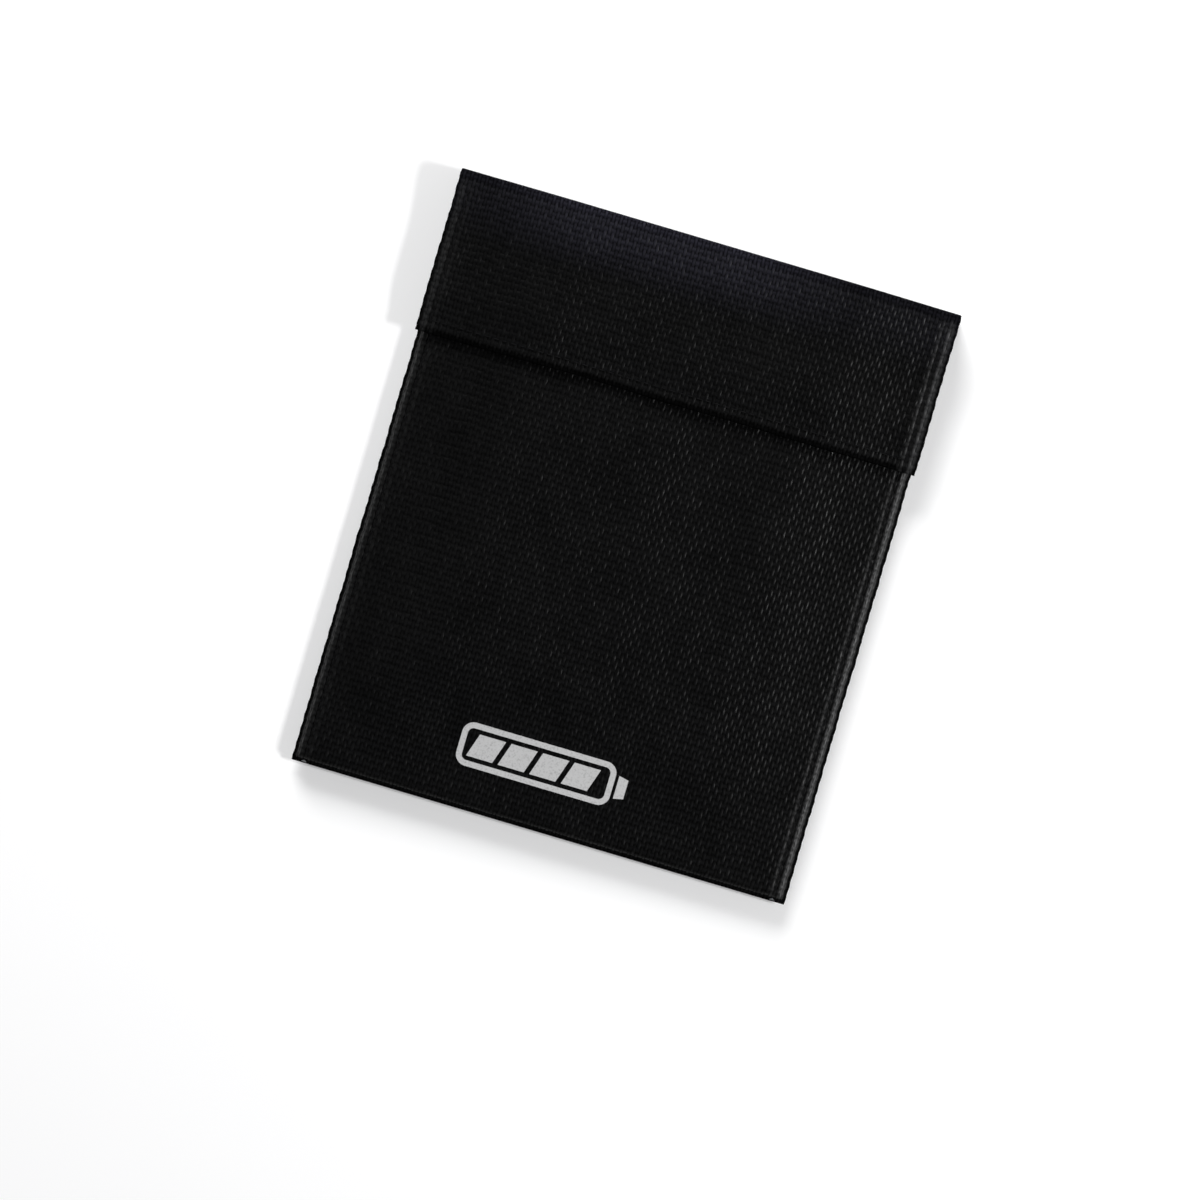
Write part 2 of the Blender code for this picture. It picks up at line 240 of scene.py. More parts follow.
def coatedCloth(name, look):
    # coated glass-fibre cloth in plain weave: flat lengthways yarns over thicker crossways ones
    material, tree, shader = newMaterial(name, {"Specular IOR Level": look["shine"]})

    def sums(operation, *values):
        return calc(tree, operation, *values)

    def share(key):
        return addNode(tree, "ShaderNodeAttribute", attribute_name=key).outputs["Fac"]

    dull, wearAndHighlight, bloom = share("dull"), share("wearAndHighlight"), share("bloom")
    cloth = yarnMap(tree)
    broad = noise(tree, cloth, 0.05, 4.0, 0.6)
    wander = noise(tree, cloth, 0.11)
    fine = noise(tree, yarnMap(tree, look["filament"]), 1.0, 3.0, 0.65)

    # which yarn a point is on, where it is on that yarn, and whether the yarn passes over or under there
    split = addNode(tree, "ShaderNodeSeparateXYZ", {"Vector": cloth})
    drift = sums("MULTIPLY", wander, look["drift"])
    across = sums("MULTIPLY_ADD", split.outputs["X"], 1 / look["warp"], drift)
    along = sums("MULTIPLY_ADD", split.outputs["Y"], 1 / look["weft"], drift)
    column = sums("FLOOR", across)
    inColumn = sums("SUBTRACT", sums("FRACT", across), 0.5)
    warpRound = sums("COSINE", sums("MULTIPLY", inColumn, math.pi))
    yarnOf = addNode(tree, "ShaderNodeTexWhiteNoise", {"W": column}, noise_dimensions="1D").outputs["Value"]
    shifted = sums("ADD", sums("MULTIPLY_ADD", yarnOf, look["outOfStep"], along), column)
    passing = sums("COSINE", sums("MULTIPLY", shifted, math.pi))
    weftRound = sums("ABSOLUTE", sums("COSINE", sums("MULTIPLY", along, math.pi)))

    crossing = sums("FLOOR", sums("MULTIPLY", sums("ADD", shifted, 1.0), 0.5))
    cell = addNode(tree, "ShaderNodeCombineXYZ", {"X": column, "Y": crossing}).outputs["Vector"]
    byCell = addNode(tree, "ShaderNodeTexWhiteNoise", {"Vector": cell}, noise_dimensions="2D")
    least, byYarn, byCrossing = look["uneven"]
    uneven = sums("MULTIPLY_ADD", yarnOf, byYarn, least)
    uneven = sums("MULTIPLY_ADD", byCell.outputs["Value"], byCrossing, uneven)

    (warpMean, warpRise), (weftMean, weftRise) = look["warpHeight"], look["weftHeight"]
    warpHeight = sums("MULTIPLY", warpRound, sums("MULTIPLY_ADD", passing, warpRise, warpMean))
    weftHeight = sums("MULTIPLY", weftRound, sums("MULTIPLY_ADD", passing, weftRise, weftMean))
    height = sums("MAXIMUM", sums("MULTIPLY", warpHeight, uneven), weftHeight)

    colour = ramp(tree, broad, (look["dark"], look["light"]), 0.3, 0.72)
    # a painted bluish reflection laid into the colour along the top fold
    withPaintedSheen = mixed(tree, bloom, colour, (*look["bloom"], 1))
    # painted shade: the colour darkened in the hollows between yarns, and lighter on their tops
    hollow, top = look["lift"]
    weaveShaded = mixed(tree, 1.0, withPaintedSheen, ramp(tree, height, (grey(hollow), grey(top))), "MULTIPLY")
    # lighter colour along the seam rolls: rubbed wear with a painted highlight, stronger on the right
    rubbedAndLit = sums("MULTIPLY", wearAndHighlight, sums("MULTIPLY_ADD", height, 0.9, 0.1))
    feed(tree, shader, {"Base Color": mixed(tree, rubbedAndLit, weaveShaded, (*look["worn"], 1))})

    onTop, hollow = look["rough"]
    rough = sums("MULTIPLY_ADD", height, onTop - hollow, hollow)
    rough = sums("MULTIPLY_ADD", fine, look["fuzz"], rough)
    rough = sums("MULTIPLY_ADD", dull, look["dullness"], rough)
    hollow, more = look["shineShare"]
    shine = sums("MULTIPLY", sums("SUBTRACT", 1.0, dull), sums("MULTIPLY_ADD", height, more, hollow))
    shine = sums("MULTIPLY", sums("ADD", shine, wearAndHighlight), look["shine"])
    yarns = embossed(tree, height, 1.0, look["relief"])
    normal = embossed(tree, fine, 0.5, look["filamentRelief"], Normal=yarns)
    feed(tree, shader, {"Roughness": rough, "Specular IOR Level": shine, "Normal": normal})
    return material


def wovenCloth(name, look):
    # a fine flat weave made of two crossed sets of yarns
    material, tree, shader = newMaterial(
        name, {"Specular IOR Level": look["shine"], "Sheen Weight": look["sheen"], "Sheen Roughness": 0.5}
    )
    place = yarnMap(tree)
    yarns = calc(tree, "MAXIMUM", *(bands(tree, place, look["perMm"], 0.5, 1.0, way) for way in "XY"))
    grime = noise(tree, place, 0.12, 5.0)
    colour = ramp(tree, grime, (look["dark"], look["light"]), 0.25, 0.8)
    shade = ramp(tree, yarns, (grey(0.45), grey(1.1)))
    feed(tree, shader, {
        "Base Color": mixed(tree, 1.0, colour, shade, "MULTIPLY"),
        "Roughness": between(tree, grime, look["rough"]),
        "Normal": embossed(tree, yarns, 0.7, look["relief"]),
    })
    return material


def fibre(name, look):
    # sewing thread and the nylon of the tapes: a round strand with its twist in the bump
    material, tree, shader = newMaterial(
        name, {"Specular IOR Level": look["shine"], "Sheen Weight": look["sheen"]}
    )
    place = addNode(tree, "ShaderNodeTexCoord").outputs["Object"]
    turned = addNode(tree, "ShaderNodeMapping", {"Vector": place, "Rotation": (0.5, 0.3, 0.8)})
    twist = bands(tree, turned.outputs["Vector"], look["twist"], 0.6)
    mottle = noise(tree, place, look["mottle"], 3.0)
    feed(tree, shader, {
        "Base Color": ramp(tree, mottle, (look["dark"], look["light"]), 0.3, 0.7),
        "Roughness": between(tree, mottle, look["rough"]),
        "Normal": embossed(tree, twist, 0.5, 0.05 * mm),
    })
    return material


outerCloth = coatedCloth(
    "blackCoatedGlassCloth",
    {
        "warp": 1.385,  # mm from one lengthways yarn to the next
        "weft": 2.38,  # mm from one crossways yarn to the next
        "warpHeight": (0.7, 0.3),  # a lengthways yarn's mean height, and how much it rises over the others
        "weftHeight": (0.46, -0.42),  # the same for a crossways yarn, which dives where the other rises
        "uneven": (0.62, 0.25, 0.3),  # least height, what differs by yarn, and what differs by crossing
        "drift": 0.9,  # how far the weave wanders, in yarns
        "outOfStep": 0.45,  # how unevenly the crossings fall from one lengthways yarn to the next
        "relief": 0.21 * mm,
        "filament": (5.5, 1.1, 1),  # filaments to the mm across and along
        "filamentRelief": 0.05 * mm,
        "dark": (0.0012, 0.0012, 0.00122),
        "light": (0.0025, 0.0025, 0.00254),
        "lift": (0.05, 2.2),  # painted shade: share of the colour left in the weave's hollows, and how much lighter the yarn tops are
        # the colour of the seam rolls: rubbed coating and a painted highlight
        "worn": (0.08, 0.08, 0.081),
        "bloom": (0.0085, 0.0083, 0.0114),  # a painted bluish reflection along the top fold
        "rough": (0.24, 0.5),  # on the yarns' tops and in the hollows
        "fuzz": 0.14,
        "dullness": 0.3,
        "shine": 0.135,
        "shineShare": (0.06, 1.2),  # share of the shine in the hollows, and what the tops add
    },
)
liningCloth = wovenCloth(
    "silverLiningCloth",
    {
        "dark": (0.15, 0.155, 0.16), "light": (0.27, 0.275, 0.28), "rough": (0.38, 0.6),
        "shine": 0.5, "sheen": 0.15, "perMm": 0.4, "relief": 0.1 * mm,
    },
)
bindingCloth = wovenCloth(
    "blackBindingTape",
    {
        "dark": (0.008, 0.008, 0.0085), "light": (0.02, 0.02, 0.021), "rough": (0.65, 0.85),
        "shine": 0.25, "sheen": 0.2, "perMm": 0.55, "relief": 0.08 * mm,
    },
)
tapeCloth = wovenCloth(
    "blackTapeGround",
    {
        "dark": (0.006, 0.006, 0.0065), "light": (0.014, 0.014, 0.015), "rough": (0.6, 0.8),
        "shine": 0.25, "sheen": 0.15, "perMm": 0.7, "relief": 0.08 * mm,
    },
)
threadFibre = fibre(
    "blackSewingThread",
    {
        "dark": (0.002, 0.002, 0.0022), "light": (0.005, 0.005, 0.0053), "rough": (0.62, 0.85),
        "shine": 0.06, "sheen": 0.0, "twist": 900.0, "mottle": 300.0,
    },
)
hookFibre = fibre(
    "blackHookNylon",
    {
        "dark": (0.006, 0.006, 0.007), "light": (0.016, 0.016, 0.017), "rough": (0.25, 0.42),
        "shine": 0.5, "sheen": 0.0, "twist": 500.0, "mottle": 400.0,
    },
)
loopFibre = fibre(
    "blackLoopNylon",
    {
        "dark": (0.008, 0.008, 0.009), "light": (0.026, 0.026, 0.027), "rough": (0.5, 0.75),
        "shine": 0.35, "sheen": 0.35, "twist": 700.0, "mottle": 260.0,
    },
)
print("materials made")


# ---- camera, table and lights

view = {
    "turn": math.radians(16.48),
    "centre": (-2.1 * mm, -24.0 * mm),
    "height": 1.6,
    "across": 0.4284,  # how much the camera sees from side to side
    "level": 8 * mm,  # at this height
    "sensor": 36,
}
cameraData = bpy.data.cameras.new("camera")
cameraData.sensor_width = view["sensor"]
cameraData.lens = view["sensor"] * (view["height"] - view["level"]) / view["across"]
cameraData.clip_end = 20
camera = linked("camera", cameraData)
camera.location = (*view["centre"], view["height"])
camera.rotation_euler = (0, 0, view["turn"])
scene.camera = camera
scene.view_settings.view_transform = "Standard"

floor = {"reach": 4.0, "tone": 0.9, "glow": 0.15}
tableMaterial, _, _ = newMaterial(
    "paleTable",
    {
        "Base Color": (*grey(floor["tone"]), 1), "Roughness": 0.9, "Specular IOR Level": 0.05,
        "Emission Color": (1, 1, 1, 1), "Emission Strength": floor["glow"],
    },
)
tableMesh = bpy.data.meshes.new("table")
corners = [(x * floor["reach"], y * floor["reach"], 0) for x, y in ((-1, -1), (1, -1), (1, 1), (-1, 1))]
tableMesh.from_pydata(corners, [], [(0, 1, 2, 3)])
tableMesh.materials.append(tableMaterial)
linked("table", tableMesh)


def softBox(name, azimuth, elevation, distance, size, power, tint=(1, 1, 1)):
    # azimuth is clockwise from +Y as the pouch is seen from above
    data = bpy.data.lights.new(name, "AREA")
    data.shape = "RECTANGLE"
    data.size, data.size_y = size
    data.energy, data.color = power, tint
    lamp = linked(name, data)
    flat = math.cos(math.radians(elevation)) * distance
    lamp.location = (
        math.sin(math.radians(azimuth)) * flat,
        math.cos(math.radians(azimuth)) * flat,
        math.sin(math.radians(elevation)) * distance,
    )
    lamp.rotation_euler = (Vector() - lamp.location).to_track_quat("-Z", "Y").to_euler()


lights = {
    "keyLight": {"azimuth": -25, "elevation": 21, "distance": 2.0, "size": (1.1, 0.6), "power": 56},
    "rightLight": {"azimuth": 86, "elevation": 35, "distance": 1.6, "size": (0.36, 0.2), "power": 18},
    "frontLight": {
        "azimuth": 176, "elevation": 75, "distance": 1.6, "size": (0.4, 0.16), "power": 0.42,
        "tint": (0.72, 0.78, 1.0),
    },
}
for name, settings in lights.items():
    softBox(name, **settings)

world = bpy.data.worlds.new("studio")
scene.world = world
world.use_nodes = True
sky = world.node_tree
place = addNode(sky, "ShaderNodeTexCoord").outputs["Generated"]
height = addNode(sky, "ShaderNodeSeparateXYZ", {"Vector": place}).outputs["Z"]
skyTones = (grey(0.92), (0.03, 0.03, 0.032))  # at the horizon and overhead
feed(sky, sky.nodes["Background"], {"Color": ramp(sky, height, skyTones, 0.05, 0.75), "Strength": 1.0})
print("camera, table and lights made")


# ---- outer cloth

weaveStep = (0.69 * mm, 1.19 * mm)  # half a lengthways and half a crossways yarn
startY = pouch["mouth"] + pouch["backPastMouth"]  # the back ends here, the strip of the fold begins


def steps(length, size):
    return np.linspace(0, length, max(3, round(length / size) + 1))


def threadMap(across, along):
    # where each grid point lies on the flat cloth, in millimetres
    u, v = np.meshgrid(across, along)
    return np.stack([u, v], -1) / mm


seam = {
    "lip": 1.2 * mm,  # flat lip outside the seam's roll
    "roll": 2.5 * mm,  # how far in the roll reaches
    "rise": pouch["edgeHeight"] - pouch["seamHeight"],
    "lipShare": 0.1,  # share of the rise that the lip takes
}
seam["arc"] = math.pi / 2 * math.sqrt((seam["roll"] ** 2 + seam["rise"] ** 2) / 2)


def rolledIn(s):
    # walking in over a seam's lip and quarter-round: how far in, and the share of the rise climbed
    past = np.maximum(s - seam["lip"], 0)
    angle = np.clip(past / seam["arc"], 0, 1) * math.pi / 2
    beyond = np.maximum(past - seam["arc"], 0)
    inward = np.minimum(s, seam["lip"]) + seam["roll"] * (1 - np.cos(angle)) + beyond
    onLip = np.minimum(s / seam["lip"], 1)
    return inward, seam["lipShare"] * onLip + (1 - seam["lipShare"]) * np.sin(angle)


def climbed(inward):
    # the same, from how far in a point is
    past = np.maximum(inward - seam["lip"], 0)
    angle = np.arccos(1 - np.clip(past / seam["roll"], 0, 1))
    return seam["lipShare"] * np.minimum(inward / seam["lip"], 1) + (1 - seam["lipShare"]) * np.sin(angle)


def rubbedAndLitSides(x, inset):
    # the seams' rolls are lightened: rubbed wear, with a painted highlight that is stronger on the right
    # side, where the light falls
    main = bump(inset - 2.5 * mm, 0.8 * mm) + 0.3 * bump(inset - 5.5 * mm, 0.8 * mm)
    patchy = 0.8 + 0.2 * ripple(inset, 0 * inset, 71, 9 * mm)
    return np.where(x > 0, 1.3, 0.4) * main * patchy


def dullRim(inset, reach):
    return 1 - ease((inset - 0.7 * reach) / (0.6 * reach))


def turnedUnder(t, length, radius, hem):
    # walking to an edge and back under it: how far along, and how deep under the face
    angle = np.clip((t - (length - radius)) / radius, 0, math.pi)
    past = np.maximum(t - (length - radius) - math.pi * radius, 0)
    along = np.minimum(t, length - radius) + radius * np.sin(angle) - past
    tucked = ease((past - hem + 1.2 * mm) / (1.2 * mm)) * 0.55 * radius
    return along, radius * (1 - np.cos(angle)) - tucked


def frontHeight(x, y):
    fromSide, fromEnd = pouch["half"] - np.abs(x), y - pouch["bottom"]
    side, end = ease(fromSide / pouch["crownSide"]), ease(fromEnd / pouch["crownEnd"])
    fall = ease((y - pouch["fallStart"]) / (pouch["mouth"] - pouch["fallStart"]))
    crown = pouch["crown"] * side * end * (1 - (1 - pouch["mouthShare"]) * fall)
    inner = ease(fromSide / pouch["swellFrom"]) * ease(fromEnd / pouch["swellFrom"])
    soft = sum(depth * ripple(x, y, seed, length) for depth, seed, length in pouch["swells"])
    return pouch["edgeHeight"] + crown + soft * inner


def stitchDip(inset, y):
    # the furrow that a row of stitches pulls into the cloth, deepest at each needle hole
    pull = 0.75 + 0.25 * np.cos(2 * math.pi * y / pouch["stitchPitch"])
    return -pouch["seamDip"] * bump(inset - pouch["seamInset"], 0.9 * mm) * pull


def scallop(x, y, half):
    # the seam's stitches draw the side edges into small, uneven scallops
    edge = bump(half - np.abs(x), 3.2 * mm)
    wave = np.sin(2 * math.pi * y / (4.5 * mm) + 1.2 * ripple(0 * y, y, 72, 19 * mm))
    return np.sign(x) * edge * (0.11 * mm * wave + 0.09 * mm * ripple(x, y, 73, 13 * mm))


def backHeight(x, y):
    side = np.maximum(1 - (pouch["half"] - np.abs(x)) / pouch["backReach"], 0) ** 2
    end = np.maximum(1 - (y - pouch["bottom"]) / pouch["backReach"], 0) ** 2
    side = side * (1 - ease((y - pouch["mouth"]) / pouch["backEnd"]))
    return pouch["seamHeight"] * (side + end - side * end)


def bendAtMouth(piece, nodes=()):
    # the front lifts off the back at the mouth but stays sewn down at its sides and lifts fully in the
    # middle, so every piece of it is parted in the middle into a left and a right part
    parts = []
    for side, label in ((-1, "Left"), (1, "Right")):
        shape = bmesh.new()
        shape.from_mesh(piece.data)
        away = [f for f in shape.faces if (f.calc_center_median().x > 0) != (side > 0)]
        bmesh.ops.delete(shape, geom=away, context="FACES")
        mesh = piece.data.copy()
        shape.to_mesh(mesh)
        shape.free()
        part = linked(piece.name + label, mesh)
        if nodes:
            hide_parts(*nodes)
        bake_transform(part)
        parts.append(part)
    bpy.data.objects.remove(piece)
    return parts


def frontCloth():
    width = 2 * (pouch["half"] - seam["roll"] + seam["arc"])
    length = pouch["mouth"] - pouch["bottom"] - seam["roll"] + seam["arc"]
    hem, radius = pouch["mouthHem"], pouch["mouthHemRound"]
    s = steps(width, weaveStep[0])
    t = steps(length + hem + (math.pi - 1) * radius, weaveStep[1])
    inset, riseX = rolledIn(np.minimum(s, width - s))
    along, depth = turnedUnder(t, length, radius, hem)
    inFrom, riseY = rolledIn(along)
    x, y = np.meshgrid(np.where(s < width / 2, -1, 1) * (pouch["half"] - inset), pouch["bottom"] + inFrom)
    z = frontHeight(x, y) - seam["rise"] * (1 - riseX[None, :] * riseY[:, None])
    z = z + stitchDip(pouch["half"] - np.abs(x), y)
    z = z - depth[:, None] * (0.03 + 0.97 * ease(inset / (3.5 * mm)))[None, :]
    furrow = bump(y - (pouch["mouth"] - pouch["mouthStitchIn"]), 0.8 * mm) * (depth[:, None] < radius)
    z = z - 0.22 * mm * furrow
    points = np.stack([x + scallop(x, y, pouch["half"]), y, z], -1)
    # painted highlight with rubbed wear along the seam rolls
    wearAndHighlight = rubbedAndLitSides(x, inset[None, :]) * ease((y - pouch["bottom"] - 1 * mm) / (2 * mm))
    dull = np.maximum(0.9 * dullRim(inset, 1.2 * mm)[None, :], 0.8 * dullRim(inFrom, 1.8 * mm)[:, None])
    piece = gridPiece("frontCloth", points, threadMap(s, t), {"dull": dull, "wearAndHighlight": wearAndHighlight})
    finish(piece, outerCloth)
    mesh = piece.data
    surface = BVHTree.FromPolygons([v.co for v in mesh.vertices], [p.vertices for p in mesh.polygons])
    bendAtMouth(piece, ["front_panel"])
    return surface


def backCloth():
    length = startY - pouch["bottom"]
    s = steps(2 * pouch["half"], weaveStep[0])
    t = steps(length, weaveStep[1])
    x, y = np.meshgrid(s - pouch["half"], pouch["bottom"] + t)
    z = backHeight(x, y)
    points = np.stack([x + scallop(x, y, pouch["half"]), y, z], -1)
    inset = pouch["half"] - np.abs(x)
    # painted highlight with rubbed wear along the seam rolls, weaker on the back
    values = {"dull": dullRim(inset, 1.2 * mm), "wearAndHighlight": 0.5 * rubbedAndLitSides(x, inset)}
    piece = gridPiece("backCloth", points, threadMap(s, t), values, flipped=True)
    finish(piece, outerCloth, ["back_panel"])
    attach(piece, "pouch")


flap = {
    "creaseRound": 2.3 * mm,  # outer round of the two creases of the top fold
    "edgeRound": 0.5 * mm,  # half the thickness of its hemmed edges
    "hem": 8 * mm,
    "stitchIn": 4.7 * mm,
    "clearance": (1.6 * mm, 2.8 * mm),  # from the front up to the flap's face, at its edge and above
    "sideDrop": 2.4 * mm,  # how much lower the top fold is at its two ends
    "dropFrom": (52 * mm, 41 * mm),  # where that begins, from the middle, and how far it takes
    "rest": 86 * mm,  # how far out the flap follows the front
    "overTapes": (50 * mm, 18 * mm),  # where it climbs on to the tapes, and how far that takes
    "toFold": (84 * mm, 22.6 * mm),  # where it leaves the front for the fold, and how far that takes
    "swell": (0.15 * mm, 31, 46 * mm),
    # where the painted bluish reflection begins on the flap, and how far up it takes to reach full strength
    "bloomAt": (84 * mm, 18 * mm),
}


def foldTop(x):
    return pouch["foldTop"] - flap["sideDrop"] * rising(np.abs(x), flap["dropFrom"])


def flapHeight(x, y):
    low, high = flap["clearance"]
    resting = frontHeight(np.minimum(np.abs(x), flap["rest"]), np.minimum(y, pouch["mouth"]))
    resting = resting + low + (high - low) * rising(y, flap["overTapes"])
    atFold = rising(y, flap["toFold"])
    height = resting + (foldTop(x) - resting) * atFold
    fromSide = pouch["flapHalf"] - np.abs(x)
    fromEdge = y - pouch["flapEdge"]
    hemmed = np.maximum(
        1 - ease((fromSide - 7.6 * mm) / (1.2 * mm)), 0.4 - 0.4 * ease((fromEdge - 6.8 * mm) / (3 * mm))
    )
    sideFurrow, edgeFurrow = (bump(inset - flap["stitchIn"], 0.8 * mm) for inset in (fromSide, fromEdge))
    furrow = np.maximum(sideFurrow, 0.2 * edgeFurrow)
    depth, seed, length = flap["swell"]
    soft = depth * ripple(x, y, seed, length) * (1 - atFold)
    return height + soft + 0.22 * mm * hemmed - 0.3 * mm * furrow * (1 - atFold)


runs = {}
runs["back"] = pouch["top"] - flap["creaseRound"] - startY
runs["lower"] = runs["back"] + flap["creaseRound"] * math.pi / 2
runs["spine"] = runs["lower"] + pouch["foldTop"] - 2 * flap["creaseRound"]
runs["upper"] = runs["spine"] + flap["creaseRound"] * math.pi / 2
runs["flap"] = runs["upper"] + pouch["top"] - flap["creaseRound"] - pouch["flapEdge"]
runs["split"] = (runs["lower"] + runs["spine"]) / 2


def stripPath(x, t):
    # the strip of cloth from the back, round the top fold, to the flap's edge: its face and the way it faces
    r, top = flap["creaseRound"], pouch["top"]
    lower = np.clip((t - runs["back"]) / r, 0, math.pi / 2)
    upper = np.clip((t - runs["spine"]) / r, 0, math.pi / 2)
    climbed = np.clip((t - runs["lower"]) / (runs["spine"] - runs["lower"]), 0, 1)
    onBack, onFlap = t <= runs["back"], t >= runs["upper"]
    flatY = startY + t
    flapY = top - r - (t - runs["upper"])
    y = top - r + r * np.sin(lower)
    y = np.where(t > runs["spine"], top - r + r * np.cos(upper), y)
    y = np.where(onBack, flatY, np.where(onFlap, flapY, y))
    crown = foldTop(x)
    z = r * (1 - np.cos(lower)) + climbed * (crown - 2 * r) + r * np.sin(upper)
    z = np.where(onBack, backHeight(x, flatY), np.where(onFlap, flapHeight(x, flapY), z))
    turned = lower + upper
    return y, z, np.sin(turned), -np.cos(turned)


def stripWidth(t):
    return pouch["half"] + (pouch["flapHalf"] - pouch["half"]) * ease(t / (12 * mm))


def stripPiece(name, start, stop, endHem):
    # a length of that strip, its two long edges turned under, and its end as well where it is hemmed
    radius, hem = flap["edgeRound"], flap["hem"]
    half = pouch["flapHalf"] + hem + (math.pi - 1) * radius
    s = steps(2 * half, weaveStep[0]) - half
    length = stop - start
    t = steps(length + (hem + (math.pi - 1) * radius if endHem else 0.0), weaveStep[1])
    across, depthX = turnedUnder(np.abs(s), pouch["flapHalf"], radius, hem)
    along, depthY = turnedUnder(t, length, radius, hem) if endHem else (t, np.zeros_like(t))
    gridS, gridT = np.meshgrid(np.sign(s) * across, start + along)
    x = gridS * stripWidth(gridT) / pouch["flapHalf"]
    deep = 2 * radius
    depth = deep * (1 - (1 - depthX[None, :] / deep) * (1 - depthY[:, None] / deep))
    y, z, outY, outZ = stripPath(x, gridT)
    y, z = y - depth * outY, z - depth * outZ
    edgeWave = 0.25 * mm * ripple(x, 0 * x, 41, 60 * mm) * bump(y - pouch["flapEdge"], 6 * mm)
    points = np.stack([x + scallop(x, gridT, pouch["flapHalf"]), y + edgeWave, z], -1)
    inset = pouch["flapHalf"] - np.abs(x)
    nearFold = dullRim(gridT - runs["upper"], 1.5 * mm)
    nearFold = nearFold * ease((gridT - runs["spine"] + 1.5 * mm) / (1.5 * mm)) * (depth < radius)
    dull = np.maximum(dullRim(inset, 0.9 * mm), nearFold)
    if endHem:
        dull = np.maximum(dull, dullRim(stop - start - along, 2.2 * mm)[:, None])
    # painted highlight with rubbed wear along the flap's side rolls
    wearAndHighlight = rubbedAndLitSides(x, inset) * (depth < radius) * ease((gridT - runs["upper"]) / (6 * mm))
    # painted bluish reflection near the top fold, strongest in the middle of the flap
    middle = 0.3 + 0.7 * ease((75 * mm - np.abs(x + 15 * mm)) / (50 * mm))
    bloom = rising(y, flap["bloomAt"]) * middle * (gridT > runs["spine"])
    values = {"dull": dull, "wearAndHighlight": wearAndHighlight, "bloom": bloom}
    return gridPiece(name, points, threadMap(s, start + t), values, flipped=True)


def foldBlend(piece):
    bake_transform(piece)


def flapBlend(piece):
    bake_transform(piece)


backCloth()
frontFace = frontCloth()
foldPiece = stripPiece("foldCloth", 0.0, runs["split"], False)
finish(foldPiece, outerCloth, ["top_fold_cloth"])
foldBlend(foldPiece)
flapPiece = stripPiece("flapCloth", runs["split"], runs["flap"], True)
finish(flapPiece, outerCloth, ["flap_panel"])
flapBlend(flapPiece)
print("outer cloth made")


# ---- lining

lining = {
    "step": 3 * mm,
    "inset": 0.35 * mm,
    "behind": 0.72 * mm,  # from the strip's face down to its lining
    "sideGap": 1.5 * mm,
    "endGap": 2.5 * mm,
    "rim": np.array([0, 0.3, 0.7, 1.1, 1.5, 2.0, 2.6, 3.3, 4.2, 5.2]) * mm,  # closer grid lines over the roll
}


def liningGrid(width, length):
    across = np.linspace(-width, width, round(2 * width / lining["step"]))
    return across, np.linspace(0, length, round(length / lining["step"]))


def backLining():
    inset = lining["inset"]
    across, along = liningGrid(pouch["half"] - inset, startY - pouch["bottom"] - inset)
    x, y = np.meshgrid(across, pouch["bottom"] + inset + along)
    fromEdge = np.minimum(pouch["half"] - np.abs(x), y - pouch["bottom"])
    z = backHeight(x, y) + pouch["liningDepth"] * ease((fromEdge - 0.2 * mm) / (5 * mm))
    z = z + 0.25 * mm * (1 + ripple(x, y, 51, 34 * mm)) * 0.4 * ease(fromEdge / (20 * mm))
    piece = gridPiece("backLining", np.stack([x, y, z], -1), threadMap(across, along))
    finish(piece, liningCloth, ["back_lining"])
    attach(piece, "pouch")


def frontLining():
    inset, edge = lining["inset"], lining["rim"]
    across, along = liningGrid(pouch["half"] - inset, pouch["mouth"] - 2 * mm - pouch["bottom"] - inset)
    middle = across[np.abs(across) < 85 * mm]
    across = np.unique(np.concatenate([middle, across[-1] - edge, edge - across[-1]]))
    along = np.unique(np.concatenate([edge, along[along > 7 * mm]]))
    x, y = np.meshgrid(across, pouch["bottom"] + inset + along)
    fromSide, fromEnd = across[-1] - np.abs(x), y - pouch["bottom"] - inset
    z = frontHeight(x, y) - seam["rise"] * (1 - climbed(fromSide) * climbed(fromEnd))
    z = z - pouch["liningDepth"] * ease(np.minimum(fromSide, fromEnd) / (2 * mm))
    piece = gridPiece("frontLining", np.stack([x, y, z], -1), threadMap(across, along), flipped=True)
    finish(piece, liningCloth)
    bendAtMouth(piece, ["front_lining"])


def stripLining(name, start, stop, node):
    half = pouch["flapHalf"] - lining["sideGap"]
    across = np.linspace(-half, half, 61)
    along = np.linspace(start, stop, max(8, round((stop - start) / (1.2 * mm))))
    x, t = np.meshgrid(across, along)
    y, z, outY, outZ = stripPath(x, t)
    depth = lining["behind"]
    points = np.stack([x * stripWidth(t) / pouch["flapHalf"], y - depth * outY, z - depth * outZ], -1)
    piece = gridPiece(name, points, threadMap(across, along))
    finish(piece, liningCloth, [node])
    return piece


backLining()
frontLining()
foldLining = stripLining("foldLining", 0.0, runs["split"], "top_fold_lining")
foldBlend(foldLining)
flapLining = stripLining("flapLining", runs["split"], runs["flap"] - lining["endGap"], "flap_lining")
flapBlend(flapLining)
print("lining made")


# ---- tape bound round the raw edges of the two side seams, inside

binding = {
    "fold": 80.9 * mm,  # where the tape is folded, from the middle of the pouch
    "width": 5.7 * mm,
    "thick": 0.85 * mm,
    "level": 4.2 * mm,
    "from": -96 * mm,
    "to": 88 * mm,
    "step": 2 * mm,
}


